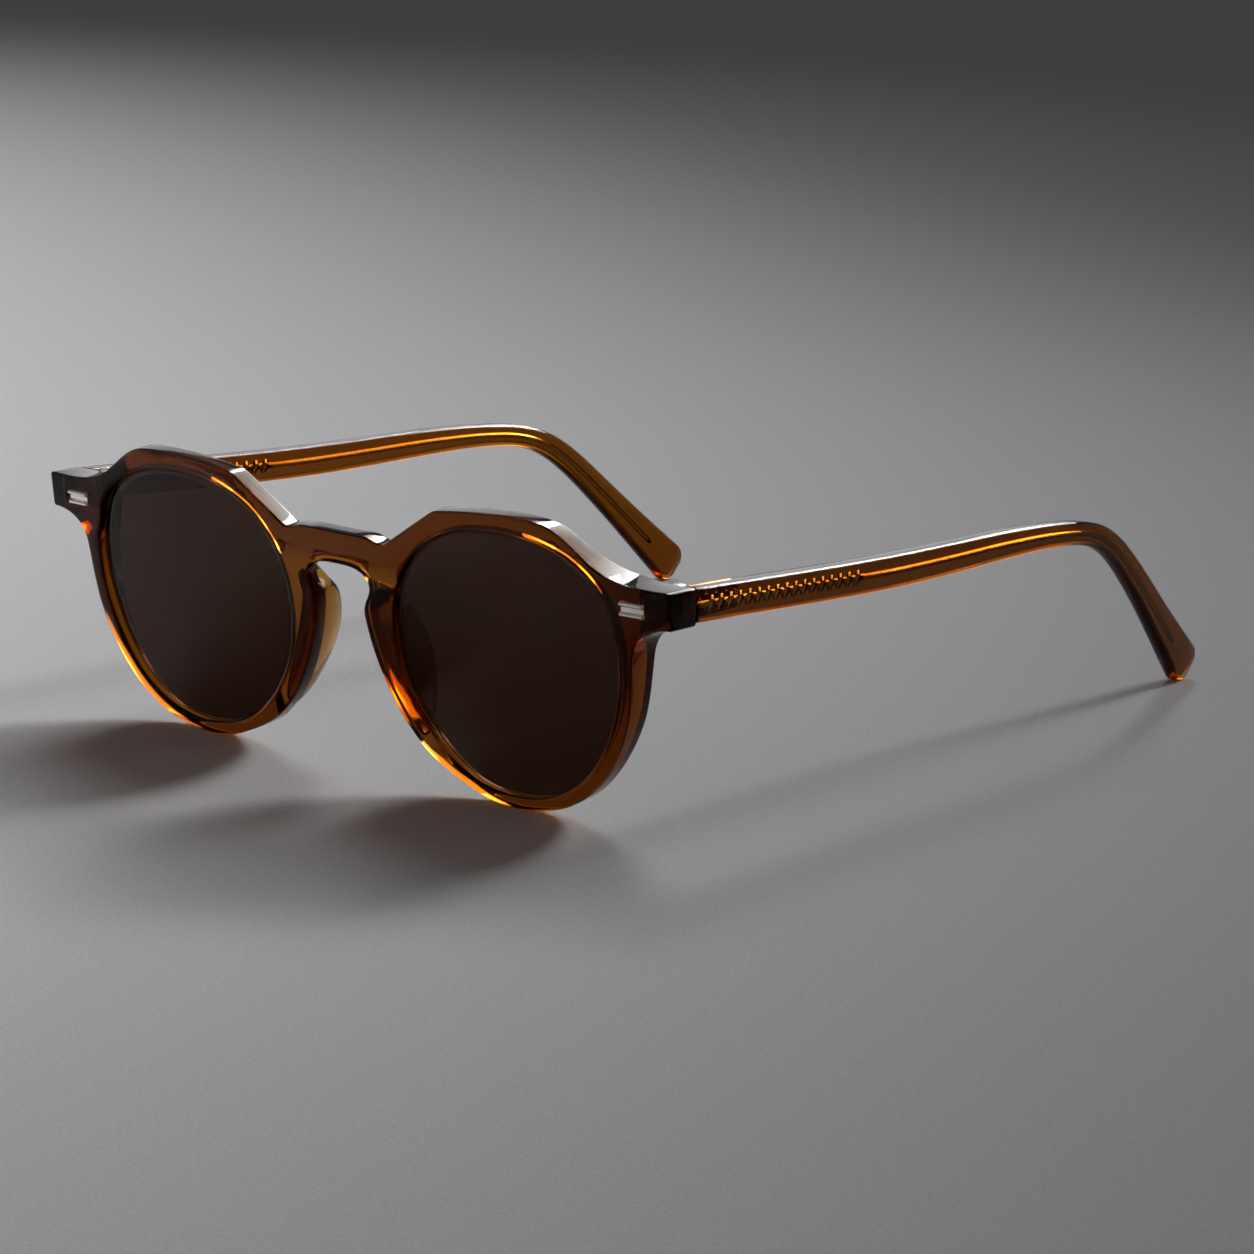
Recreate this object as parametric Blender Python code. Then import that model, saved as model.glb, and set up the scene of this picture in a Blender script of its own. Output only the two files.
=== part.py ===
"""Acetate sunglasses: a keyhole front on two folding temples."""
import bpy
import bmesh
import math
from mathutils import Vector
from mathutils.geometry import delaunay_2d_cdt

MM = 0.001

# Front, in its own plane: x across, v up the leaning face, d back from it.
TILT = math.radians(6.3)
WRAP = 0.0003
FRONT_THICK = 3.4
NASAL_THICK = 2.5
END_BACK_Y = 3.4
END_RAMP = (50.0, 61.5)
EDGE_ROUND = 0.35
HALF_WIDTH = 70.0
END_TOP_V = 39.9
END_BOTTOM_V = 33.95

BRIDGE_TOP = [(0, 39.85), (4, 39.85), (7.6, 39.85), (9.2, 39.35), (10.4, 39.1), (11.3, 39.25)]
BROW = [(21.9, 45.8), (22.5, 46.15), (23.4, 46.35), (29, 47.0), (35, 47.4), (41, 47.5),
        (45.6, 47.15), (48.8, 46.0), (51.8, 44.1), (54.8, 42.1), (58, 40.75), (61.5, 40.05),
        (65.5, 39.85), (HALF_WIDTH, END_TOP_V)]
RIM_OUTER = [(HALF_WIDTH, END_BOTTOM_V), (68.2, 33.85), (66.2, 33.4), (64.6, 32.7), (63.1, 31.5),
             (62.1, 29.6), (61.6, 26.6), (61.0, 22.3), (59.9, 17.8), (57.6, 12.9), (54.4, 8.4),
             (50.4, 4.7), (45.5, 2.0), (40, 0.6), (34.5, 0.05), (29.3, 0.75), (24.6, 2.4),
             (20, 4.5), (16, 7.2), (12.2, 11.2), (9.3, 15.8), (7.3, 20.2), (6.2, 23.6),
             (5.5, 27.2), (5.9, 28.9), (6.8, 30.5), (7.1, 31.8), (6.4, 33.1), (4.7, 34.05),
             (2.4, 34.45), (0, 34.5)]
APERTURE = [(35, 44.6), (27, 43.6), (19.3, 40), (14.1, 34), (12.1, 26), (13.4, 17.3),
            (18.6, 9.4), (26, 4), (35, 2.2), (44, 3.8), (51.8, 9.4), (56.9, 18.2),
            (58.4, 28), (56.2, 36.6), (50.5, 41.7), (43, 44.1)]
APERTURE_CENTRE = (35.2, 23.5)

# Lens held by a ridge in a groove.
GROOVE_FROM, GROOVE_APEX, GROOVE_TO = 0.6, 1.3, 2.0
GROOVE_DEPTH = 0.9
LENS_FRONT, LENS_BACK = 0.7, 2.2
LENS_RIDGE = 0.45
LENS_BULGE = 0.5
GAP = 0.3

# Nose pads, as sections stacked up the rim: v, reach behind the front, flare away from the nose.
PAD_SECTIONS = [(8.6, 3.5, 0.2, 1.2), (10.2, 4.9, 0.5, 2.7), (13, 6.6, 1.1, 3.8), (16.5, 8.3, 1.7, 4.4),
                (20, 9.1, 2.0, 4.6), (23.5, 8.9, 2.0, 4.5), (26.5, 7.9, 1.7, 4.2), (29.2, 6.2, 1.2, 3.8),
                (31.2, 4.7, 0.8, 3.0), (32.3, 3.4, 0.4, 1.6)]

# Hinge: three knuckles on a vertical axis, one hinge each side.
AXIS_X, AXIS_Y = 65.0, 4.95
KNUCKLE_R = 1.3
HINGE_BORE_R = 0.62
SCREW_R = 0.56
HINGE_Z = (34.9, 36.1, 36.25, 37.5, 37.65, 38.8)
LEAF_FRONT = (61.7, 66.5, 2.1, 3.1)
LEAF_FRONT_Z = (34.9, 38.8)
LEAF_TEMPLE = (66.75, 67.35, 5.0, 14.0)
LEAF_TEMPLE_Z = (35.0, 38.7)

# Plaque on each end piece, with two pins behind it.
PLAQUE_X = (60.5, 64.9)
PLAQUE_V = (35.15, 37.6)
PIN_X = (62.4, 64.1)
PIN_R = 0.45
PIN_Z = 36.2

# Temple stations: y, z, height, outer face x, thickness.
TEMPLE = [(3.7, 37.0, 5.3, 70.0, 3.3), (15, 36.35, 5.3, 69.7, 3.3), (28, 35.55, 5.3, 69.3, 3.2),
          (41, 34.8, 5.3, 68.8, 3.1), (54, 34.25, 5.25, 68.4, 3.0), (67, 34.0, 5.0, 68.0, 2.95),
          (80, 33.85, 4.7, 67.5, 2.9), (91, 33.45, 4.3, 67.1, 2.85), (99, 32.8, 4.1, 66.7, 2.8),
          (104.5, 31.9, 4.1, 66.3, 2.8), (109, 30.4, 4.3, 65.9, 2.8), (113.5, 27.8, 4.6, 65.4, 2.8),
          (118.5, 23.7, 4.95, 64.7, 2.8), (124.5, 18.0, 5.4, 63.8, 2.8), (130.5, 12.1, 6.1, 62.8, 2.9),
          (135.5, 7.2, 6.9, 62.0, 3.0), (139.2, 3.6, 7.6, 61.4, 3.0)]
TIP_ROUND = [(0.9, 0.96), (1.6, 0.86), (2.1, 0.66), (2.35, 0.4)]
TEMPLE_EDGE = 0.7

# Core wire inside each temple.
CORE_START_Y = 4.6
RIB_START_Y, RIB_PITCH, RIB_COUNT = 6.5, 2.2, 17
CORE_INSET = 1.35
RIB_HALF = (1.15, 0.48)
ROOT_HALF = (0.8, 0.42)
WIRE_R = 0.55

Y_MID = 68.87
Z_FLOOR = 0.126


def clear_scene():
    for obj in list(bpy.data.objects):
        bpy.data.objects.remove(obj)


def smooth(a, b, t):
    u = min(1.0, max(0.0, (t - a) / (b - a)))
    return u * u * (3 - 2 * u)


def material(name, colour, metallic=0.0, roughness=0.3, alpha=1.0):
    mat = bpy.data.materials.new(name)
    mat.use_nodes = True
    shader = mat.node_tree.nodes["Principled BSDF"]
    shader.inputs["Base Color"].default_value = (*colour, 1.0)
    shader.inputs["Metallic"].default_value = metallic
    shader.inputs["Roughness"].default_value = roughness
    shader.inputs["Alpha"].default_value = alpha
    return mat


def spline(points, steps, closed=False):
    """Catmull-Rom curve through the points; an open one leaves out its last point."""
    n = len(points)
    out = []
    for i in range(n if closed else n - 1):
        if closed:
            p0, p1, p2, p3 = (points[(i + k) % n] for k in (-1, 0, 1, 2))
        else:
            p0, p3 = points[max(i - 1, 0)], points[min(i + 2, n - 1)]
            p1, p2 = points[i], points[i + 1]
        for s in range(steps):
            t = s / steps
            out.append(tuple(0.5 * (2 * b + (c - a) * t + (2 * a - 5 * b + 4 * c - d) * t * t
                                    + (3 * b - a - 3 * c + d) * t ** 3)
                             for a, b, c, d in zip(p0, p1, p2, p3)))
    return out


def front_outline():
    half = spline(BRIDGE_TOP, 1) + [BRIDGE_TOP[-1]] + spline(BROW, 2) + [BROW[-1]]
    half += spline(RIM_OUTER, 2) + [RIM_OUTER[-1]]
    return half + [(-x, v) for x, v in half[-2:0:-1]]


def aperture_outline(side):
    loop = [(side * x, v) for x, v in spline(APERTURE, 3, closed=True)]
    return loop if side > 0 else loop[::-1]


def offset(loop, dist):
    """Mitred offset of a closed outline; a positive distance goes to the left of travel."""
    out = []
    n = len(loop)
    for i in range(n):
        here = Vector(loop[i])
        a = (here - Vector(loop[i - 1])).normalized()
        b = (Vector(loop[(i + 1) % n]) - here).normalized()
        na, nb = Vector((-a.y, a.x)), Vector((-b.y, b.x))
        mid = (na + nb).normalized()
        out.append(tuple(here + mid * (dist / max(0.5, mid.dot(na)))))
    return out


def inside(p, loop):
    hit = False
    for i in range(len(loop)):
        (x1, y1), (x2, y2) = loop[i - 1], loop[i]
        if (y1 > p[1]) != (y2 > p[1]) and p[0] < (x2 - x1) * (p[1] - y1) / (y2 - y1) + x1:
            hit = not hit
    return hit


def front_thickness(x, v):
    seat = smooth(19.5, 17.0, abs(x)) * smooth(4.5, 7.5, v) * smooth(36.5, 33.5, v)
    return FRONT_THICK - (FRONT_THICK - NASAL_THICK) * seat


def on_front(x, v, d=0.0):
    """Point at depth d behind the leaning, slightly wrapped front face."""
    d = d + WRAP * x * x
    return Vector((x, -v * math.sin(TILT) + d * math.cos(TILT), v * math.cos(TILT) + d * math.sin(TILT)))


def in_front(x, v, part):
    """Point a part of the way from the front face to the back one; the end pieces run deeper."""
    face = on_front(x, v)
    back = on_front(x, v, front_thickness(x, v))
    deep = Vector((x, END_BACK_Y, face.z))
    back = back.lerp(deep, smooth(*END_RAMP, abs(x)))
    return face.lerp(back, part)


def add_object(name, verts, faces, mat, origin=(0, 0, 0)):
    mesh = bpy.data.meshes.new(name)
    base = Vector(origin)
    mesh.from_pydata([(Vector(v) - base) * MM for v in verts], [], faces)
    mesh.materials.append(mat)
    obj = bpy.data.objects.new(name, mesh)
    obj.location = (base - Vector((0, Y_MID, Z_FLOOR))) * MM
    bpy.context.scene.collection.objects.link(obj)
    tidy(obj)
    return obj


def tidy(obj):
    bm = bmesh.new()
    bm.from_mesh(obj.data)
    bmesh.ops.remove_doubles(bm, verts=bm.verts, dist=2e-6)
    bmesh.ops.recalc_face_normals(bm, faces=bm.faces)
    bm.to_mesh(obj.data)
    bm.free()
    obj.data.shade_smooth()
    obj.data.set_sharp_from_angle(angle=math.radians(35))


def combine(obj, other, operation):
    """Exact Boolean of obj with other, which is used up."""
    mod = obj.modifiers.new(operation, "BOOLEAN")
    mod.object = other
    mod.operation = operation
    mod.solver = "EXACT"
    graph = bpy.context.evaluated_depsgraph_get()
    graph.update()
    mesh = bpy.data.meshes.new_from_object(obj.evaluated_get(graph))
    mesh.name = obj.name
    obj.modifiers.clear()
    obj.data = mesh
    bpy.data.objects.remove(other)
    tidy(obj)


def box(name, x, y, z, mat, origin=(0, 0, 0)):
    verts = [(x[i], y[j], z[k]) for i in (0, 1) for j in (0, 1) for k in (0, 1)]
    faces = [(0, 1, 3, 2), (4, 6, 7, 5), (0, 4, 5, 1), (2, 3, 7, 6), (0, 2, 6, 4), (1, 5, 7, 3)]
    return add_object(name, verts, faces, mat, origin)


def loft(rings, close_start=True, close_end=True):
    """Closed strips between rings of equal count, with flat ends."""
    n = len(rings[0])
    verts = [p for ring in rings for p in ring]
    faces = []
    for k in range(len(rings) - 1):
        for i in range(n):
            j = (i + 1) % n
            faces.append((k * n + i, k * n + j, (k + 1) * n + j, (k + 1) * n + i))
    if close_start:
        faces.append(tuple(range(n))[::-1])
    if close_end:
        faces.append(tuple(range((len(rings) - 1) * n, len(rings) * n)))
    return verts, faces


def cylinder(name, centre, radius, z, mat, sides=20, origin=(0, 0, 0)):
    ring = [(centre[0] + radius * math.cos(2 * math.pi * i / sides),
             centre[1] + radius * math.sin(2 * math.pi * i / sides)) for i in range(sides)]
    verts, faces = loft([[(x, y, h) for x, y in ring] for h in z])
    return add_object(name, verts, faces, mat, origin)


def cap_points(outer, holes):
    """Points spread over the face so that its back can bend smoothly."""
    out = []
    edge = offset(outer, -1.1)
    rings = [offset(h, -1.1) for h in holes]
    for i in range(-22, 23):
        for j in range(16):
            p = (i * 3.1, 0.6 + j * 3.1)
            if inside(p, edge) and not any(inside(p, r) for r in rings):
                out.append(p)
    return out


def triangulate(loops, extra):
    """Constrained triangles between the outline and its openings."""
    flat = [p for loop in loops for p in loop]
    edges = []
    base = 0
    for loop in loops:
        edges += [(base + i, base + (i + 1) % len(loop)) for i in range(len(loop))]
        base += len(loop)
    points = [Vector(p) for p in flat + extra]
    verts, _, faces, origin, _, _ = delaunay_2d_cdt(points, edges, [], 0, 1e-7)
    keep = []
    for face in faces:
        c = sum((verts[i] for i in face), Vector((0, 0))) / len(face)
        if inside(c, loops[0]) and not any(inside(c, h) for h in loops[1:]):
            keep.append(tuple(origin[i][0] for i in face))
    return keep


def front_frame(mat):
    outer = front_outline()
    holes = [aperture_outline(1), aperture_outline(-1)]
    r = EDGE_ROUND
    edge_rings = [(r, 0.0), (0.1, 0.03), (0.0, 0.1), (0.0, 0.9), (0.1, 0.97), (r, 1.0)]
    t = FRONT_THICK
    groove = [(-0.3, 0.0), (0.0, 0.3 / t), (0.0, GROOVE_FROM / t), (-GROOVE_DEPTH, GROOVE_APEX / t),
              (0.0, GROOVE_TO / t), (0.0, 0.93), (-0.3, 1.0)]
    verts, faces = [], []
    caps = {0: [], 1: []}
    for loop, profile, sign in ((outer, edge_rings, -1), (holes[0], groove, 1), (holes[1], groove, 1)):
        rings = []
        for inset, part in profile:
            flat = offset(loop, sign * inset)
            depth = part
            rings.append([(p, depth) for p in flat])
        start = len(verts)
        n = len(loop)
        for k, ring in enumerate(rings):
            for (x, v), part in ring:
                if loop is not outer and 0.0 < part < 0.9:
                    verts.append(on_front(x, v, part * t))
                else:
                    verts.append(in_front(x, v, part))
        for k in range(len(rings) - 1):
            for i in range(n):
                j = (i + 1) % n
                a = start + k * n
                faces.append((a + i, a + j, a + n + j, a + n + i))
        caps[0].append(([p for p, _ in rings[0]], start))
        caps[1].append(([p for p, _ in rings[-1]], start + (len(rings) - 1) * n))
    for side in (0, 1):
        loops = [c[0] for c in caps[side]]
        index = [c[1] + i for c in caps[side] for i in range(len(c[0]))]
        extra = cap_points(loops[0], loops[1:]) if side else []
        base = len(verts)
        verts += [in_front(x, v, 1.0) for x, v in extra]
        index += [base + i for i in range(len(extra))]
        faces += [tuple(index[i] for i in f) for f in triangulate(loops, extra)]
    frame = add_object("front_frame", verts, faces, mat)
    for side in (1, -1):
        x = sorted((side * (LEAF_FRONT[0] - GAP), side * (LEAF_FRONT[1] + GAP)))
        z = (LEAF_FRONT_Z[0] - GAP, LEAF_FRONT_Z[1] + GAP)
        combine(frame, box("cut", x, (LEAF_FRONT[2] - GAP, END_BACK_Y + 2), z, mat), "DIFFERENCE")
        combine(frame, plaque_block("cut", side, GAP, 0.45, -2.0, mat), "DIFFERENCE")
        for px in PIN_X:
            combine(frame, pin("cut", side * px, PIN_R + GAP, -0.4, 0.3, mat), "DIFFERENCE")
    return frame


def plaque_block(name, side, grow, back, front, mat):
    """Block square to the front face, from depth front to depth back."""
    x0, x1 = PLAQUE_X[0] - grow, PLAQUE_X[1] + grow
    v0, v1 = PLAQUE_V[0] - grow, PLAQUE_V[1] + grow
    rings = [[on_front(side * x, v, d) for x, v in ((x0, v0), (x1, v0), (x1, v1), (x0, v1))]
             for d in (front, back)]
    verts, faces = loft(rings)
    return add_object(name, verts, faces, mat)


def rivet_plaque(name, side, mat):
    """Small metal plate with two raised bars, seated in the front face."""
    v0, v1 = PLAQUE_V
    bar = 0.32
    low, high = v0 + bar + 0.06, v1 - bar - 0.06
    profile = [(v0, 0.15), (v0, -0.2)]
    for centre in (low, high):
        profile += [(centre + bar * math.cos(a), -0.2 - 0.3 * math.sin(a))
                    for a in (math.pi * (1 - k / 6) for k in range(7))]
    profile += [(v1, -0.2), (v1, 0.15)]
    rings = [[on_front(side * x, v, d) for v, d in profile] for x in PLAQUE_X]
    verts, faces = loft(rings)
    return add_object(name, verts, faces, mat)


def pin(name, x, radius, front_gap, back_gap, mat):
    """Pin from behind the plaque to the front leaf of the hinge."""
    start = on_front(x, PIN_Z, 0.45).y + front_gap
    end = LEAF_FRONT[2] - back_gap
    n = 12
    rings = [[(x + radius * math.cos(2 * math.pi * i / n), y, PIN_Z + radius * math.sin(2 * math.pi * i / n))
              for i in range(n)] for y in (start, end)]
    verts, faces = loft(rings)
    return add_object(name, verts, faces, mat)


def lens(name, side, mat):
    loop = [(side * x, v) for x, v in spline(APERTURE, 3, closed=True)]
    if side < 0:
        loop = loop[::-1]
    body = offset(loop, GAP)
    ridge = offset(loop, -LENS_RIDGE)
    cx, cv = side * APERTURE_CENTRE[0], APERTURE_CENTRE[1]

    def ring(scale, depth):
        bulge = LENS_BULGE * (1 - scale * scale)
        return [on_front(cx + (x - cx) * scale, cv + (v - cv) * scale, depth - bulge) for x, v in body]

    rings = [ring(s, LENS_FRONT) for s in (0.02, 0.35, 0.7, 1.0)]
    rings.append([on_front(x, v, GROOVE_APEX - 0.4) for x, v in body])
    rings.append([on_front(x, v, GROOVE_APEX) for x, v in ridge])
    rings.append([on_front(x, v, GROOVE_APEX + 0.4) for x, v in body])
    rings += [ring(s, LENS_BACK) for s in (1.0, 0.7, 0.35, 0.02)]
    verts, faces = loft(rings)
    return add_object(name, verts, faces, mat)


def nasal_edge(v):
    """x of the nose side of the rim at height v, from the outline itself."""
    pts = [p for p in spline(RIM_OUTER, 2) if p[0] < 34 and p[1] < 33.5]
    for (x1, v1), (x2, v2) in zip(pts, pts[1:]):
        if v1 <= v <= v2:
            return x1 + (x2 - x1) * (v - v1) / (v2 - v1)
    return pts[-1][0]


def nose_pad(name, side, mat):
    rings = []
    for v, reach, flare, width in PAD_SECTIONS:
        x = nasal_edge(v) + 0.15
        seat = NASAL_THICK + GAP
        reach = max(reach, seat + 0.5)
        crown = (x + flare + 0.35 * width, reach)
        section = [(x, seat), (x + 0.45 * flare, seat + 0.5 * (reach - seat)),
                   (x + 0.9 * flare + 0.02 * width, reach - 0.16 * (reach - seat)), crown,
                   (x + flare + 0.62 * width, reach - 0.14 * (reach - seat)),
                   (x + 0.6 * flare + 0.86 * width, seat + 0.5 * (reach - seat)), (x + width, seat)]
        rings.append([on_front(side * px, v, d) for px, d in section])
    verts, faces = loft(rings)
    return add_object(name, verts, faces, mat)


def knuckle(name, side, z, reach, mat):
    """Round barrel with a web towards reach, an (x, y) corner of the leaf."""
    n = 20
    ring = [(AXIS_X + KNUCKLE_R * math.cos(2 * math.pi * i / n),
             AXIS_Y + KNUCKLE_R * math.sin(2 * math.pi * i / n)) for i in range(n)]
    if reach == "front":
        profile = [p for p in ring if p[1] >= AXIS_Y - 0.05]
        profile += [(AXIS_X - KNUCKLE_R, 2.5), (AXIS_X + KNUCKLE_R, 2.5)]
    else:
        profile = [p for p in ring if p[0] <= AXIS_X + 0.05]
        profile += [(67.0, AXIS_Y + 0.1), (67.0, AXIS_Y + KNUCKLE_R)]
    centre = (sum(p[0] for p in profile) / len(profile), sum(p[1] for p in profile) / len(profile))
    profile.sort(key=lambda p: math.atan2(p[1] - centre[1], p[0] - centre[0]))
    verts, faces = loft([[(side * x, y, h) for x, y in profile] for h in z])
    return add_object(name, verts, faces, mat)


def hinge_front(name, side, mat):
    x = sorted((side * LEAF_FRONT[0], side * LEAF_FRONT[1]))
    leaf = box(name, x, LEAF_FRONT[2:], LEAF_FRONT_Z, mat)
    for z in (HINGE_Z[0:2], HINGE_Z[4:6]):
        combine(leaf, knuckle("add", side, z, "front", mat), "UNION")
    bore = cylinder("cut", (side * AXIS_X, AXIS_Y), HINGE_BORE_R, (30, 45), mat)
    combine(leaf, bore, "DIFFERENCE")
    return leaf


def hinge_temple(name, side, mat, origin):
    x = sorted((side * LEAF_TEMPLE[0], side * LEAF_TEMPLE[1]))
    leaf = box(name, x, LEAF_TEMPLE[2:], LEAF_TEMPLE_Z, mat, origin)
    combine(leaf, knuckle("add", side, HINGE_Z[2:4], "temple", mat), "UNION")
    bore = cylinder("cut", (side * AXIS_X, AXIS_Y), HINGE_BORE_R, (30, 45), mat)
    combine(leaf, bore, "DIFFERENCE")
    return leaf


def hinge_screw(name, side, mat):
    """Slotted screw down the hinge axis, its head on the top knuckle."""
    n = 20
    profile = [(SCREW_R, HINGE_Z[0] - 0.1), (SCREW_R, HINGE_Z[5] + 0.1), (1.0, HINGE_Z[5] + 0.1),
               (1.0, HINGE_Z[5] + 0.45), (0.8, HINGE_Z[5] + 0.6)]
    rings = [[(side * AXIS_X + r * math.cos(2 * math.pi * i / n), AXIS_Y + r * math.sin(2 * math.pi * i / n), z)
              for i in range(n)] for r, z in profile]
    verts, faces = loft(rings)
    screw = add_object(name, verts, faces, mat)
    x = (side * AXIS_X - 2, side * AXIS_X + 2)
    slot = box("cut", x, (AXIS_Y - 0.15, AXIS_Y + 0.15), (HINGE_Z[5] + 0.35, HINGE_Z[5] + 2), mat)
    combine(screw, slot, "DIFFERENCE")
    return screw


def temple_curve():
    """Stations along the temple: centre, forward direction, height, thickness."""
    rows = spline(TEMPLE, 2) + [TEMPLE[-1]]
    out = []
    for i, (y, z, h, x, w) in enumerate(rows):
        a, b = rows[max(i - 1, 0)], rows[min(i + 1, len(rows) - 1)]
        along = Vector((0, b[0] - a[0], b[1] - a[1])).normalized()
        if i == 0:
            along = Vector((0, 1, 0))
        out.append((Vector((x - w / 2, y, z)), along, h, w))
    return out


def section(centre, along, half_h, half_w, edge, side):
    """Rounded rectangle square to the direction of travel."""
    up = Vector((0, -along.z, along.y))
    e = min(edge, 0.95 * half_h, 0.95 * half_w)
    pts = []
    for sx, sz in ((1, 1), (-1, 1), (-1, -1), (1, -1)):
        corner = [(half_w - e, half_h), (half_w - 0.29 * e, half_h - 0.29 * e), (half_w, half_h - e)]
        if sx * sz > 0:
            corner = corner[::-1]
        pts += [(sx * a, sz * b) for a, b in corner]
    ring = [centre + Vector((a, 0, 0)) + up * b for a, b in pts]
    return [Vector((side * p.x, p.y, p.z)) for p in ring]


def sample(rows, y):
    for a, b in zip(rows, rows[1:]):
        if y <= b[0].y:
            t = max(0.0, (y - a[0].y) / (b[0].y - a[0].y))
            return a[0].lerp(b[0], t), a[1].lerp(b[1], t).normalized(), a[3] + (b[3] - a[3]) * t
    return rows[-1][0], rows[-1][1], rows[-1][3]


def core_centre(rows, y):
    """The ribbed end lies nearer the outer face, clear of the hinge leaf."""
    centre, along, width = sample(rows, y)
    shift = (width / 2 - CORE_INSET) * (1 - smooth(16.0, 40.0, y))
    return centre + Vector((max(shift, 0.0) + 0.1 * (1 - smooth(16.0, 40.0, y)), 0, 0)), along


def channel_rings(rows, side):
    rings = []
    rib_end = RIB_START_Y + RIB_PITCH * RIB_COUNT
    ys = [TEMPLE[0][0], 10, 20, 30, 40, rib_end + 0.4, rib_end + 1.6, 54]
    ys += [r[0].y for r in rows if 60 < r[0].y < 136.4] + [136.9]
    for y in ys:
        centre, along = core_centre(rows, y)
        k = smooth(rib_end + 0.4, rib_end + 1.6, y)
        half_h = (RIB_HALF[0] + GAP) * (1 - k) + (WIRE_R + GAP) * k
        half_w = (RIB_HALF[1] + GAP) * (1 - k) + (WIRE_R + GAP) * k
        rings.append(section(centre, along, half_h, half_w, 0.5, side))
    return rings


def temple(name, side, mat, origin):
    rows = temple_curve()
    outer = [section(c, t, h / 2, w / 2, TEMPLE_EDGE, side) for c, t, h, w in rows]
    centre, along, h, w = rows[-1]
    for step, scale in TIP_ROUND:
        outer.append(section(centre + along * step, along, h / 2 * scale, w / 2 * (0.4 + 0.6 * scale), 0.9, side))
    inner = channel_rings(rows, side)
    verts, faces = loft(outer, close_start=False)
    more, inner_faces = loft(inner, close_start=False)
    base = len(verts)
    n = len(outer[0])
    faces += [tuple(base + i for i in f)[::-1] for f in inner_faces]
    faces += [(i, base + i, base + (i + 1) % n, (i + 1) % n) for i in range(n)]
    arm = add_object(name, verts + more, faces, mat, origin)
    x = sorted((side * (LEAF_TEMPLE[0] - 2.0), side * (LEAF_TEMPLE[1] + 0.25)))
    y = (LEAF_TEMPLE[2] - GAP, LEAF_TEMPLE[3] + GAP)
    z = (LEAF_TEMPLE_Z[0] - GAP, LEAF_TEMPLE_Z[1] + GAP)
    combine(arm, box("cut", x, y, z, mat), "DIFFERENCE")
    return arm


def core_wire(name, side, mat, origin):
    """Flat core with cross ribs near the hinge, then a plain round wire."""
    rows = temple_curve()
    stations = [(CORE_START_Y, ROOT_HALF)]
    for k in range(RIB_COUNT):
        y = RIB_START_Y + k * RIB_PITCH
        stations += [(y, ROOT_HALF), (y + 0.3, RIB_HALF), (y + 1.3, RIB_HALF), (y + 1.6, ROOT_HALF)]
    plain = (WIRE_R, WIRE_R)
    start = RIB_START_Y + RIB_COUNT * RIB_PITCH
    stations += [(start, plain)]
    stations += [(r[0].y, plain) for r in rows if 60 < r[0].y < 136.0] + [(136.4, plain)]
    rings = []
    for y, (half_h, half_w) in stations:
        centre, along = core_centre(rows, y)
        up = Vector((0, -along.z, along.y))
        ring = [centre + Vector((half_w * math.cos(a), 0, 0)) + up * half_h * math.sin(a)
                for a in (2 * math.pi * (i + 0.5) / 8 for i in range(8))]
        rings.append([Vector((side * p.x, p.y, p.z)) for p in ring])
    verts, faces = loft(rings)
    return add_object(name, verts, faces, mat, origin)


def build():
    clear_scene()
    acetate = material("acetate", (0.42, 0.16, 0.02), roughness=0.08, alpha=0.75)
    pad_acetate = material("pad_acetate", (0.55, 0.25, 0.05), roughness=0.15, alpha=0.75)
    smoke = material("lens_brown", (0.03, 0.018, 0.012), roughness=0.03, alpha=0.95)
    silver = material("silver", (0.75, 0.72, 0.68), metallic=1.0, roughness=0.2)
    steel = material("steel", (0.5, 0.48, 0.46), metallic=1.0, roughness=0.3)
    front_frame(acetate)
    for label, side in (("left", 1), ("right", -1)):
        axis = (side * AXIS_X, AXIS_Y, 0.5 * (HINGE_Z[0] + HINGE_Z[5]))
        lens("lens_" + label, side, smoke)
        nose_pad("nose_pad_" + label, side, pad_acetate)
        rivet_plaque("rivet_plaque_" + label, side, silver)
        pin("rivet_pin_inner_" + label, side * PIN_X[0], PIN_R, 0.15, 0.25, steel)
        pin("rivet_pin_outer_" + label, side * PIN_X[1], PIN_R, 0.15, 0.25, steel)
        hinge_front("hinge_front_" + label, side, steel)
        hinge_temple("hinge_temple_" + label, side, steel, axis)
        hinge_screw("hinge_screw_" + label, side, steel)
        temple("temple_" + label, side, acetate, axis)
        core_wire("core_wire_" + label, side, steel, axis)


build()
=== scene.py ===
"""Panto sunglasses in clear amber acetate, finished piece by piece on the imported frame."""
import math

import bmesh
import bpy
from bpy.props import FloatProperty, FloatVectorProperty, IntProperty, PointerProperty
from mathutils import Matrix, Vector
from mathutils.geometry import delaunay_2d_cdt


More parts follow.
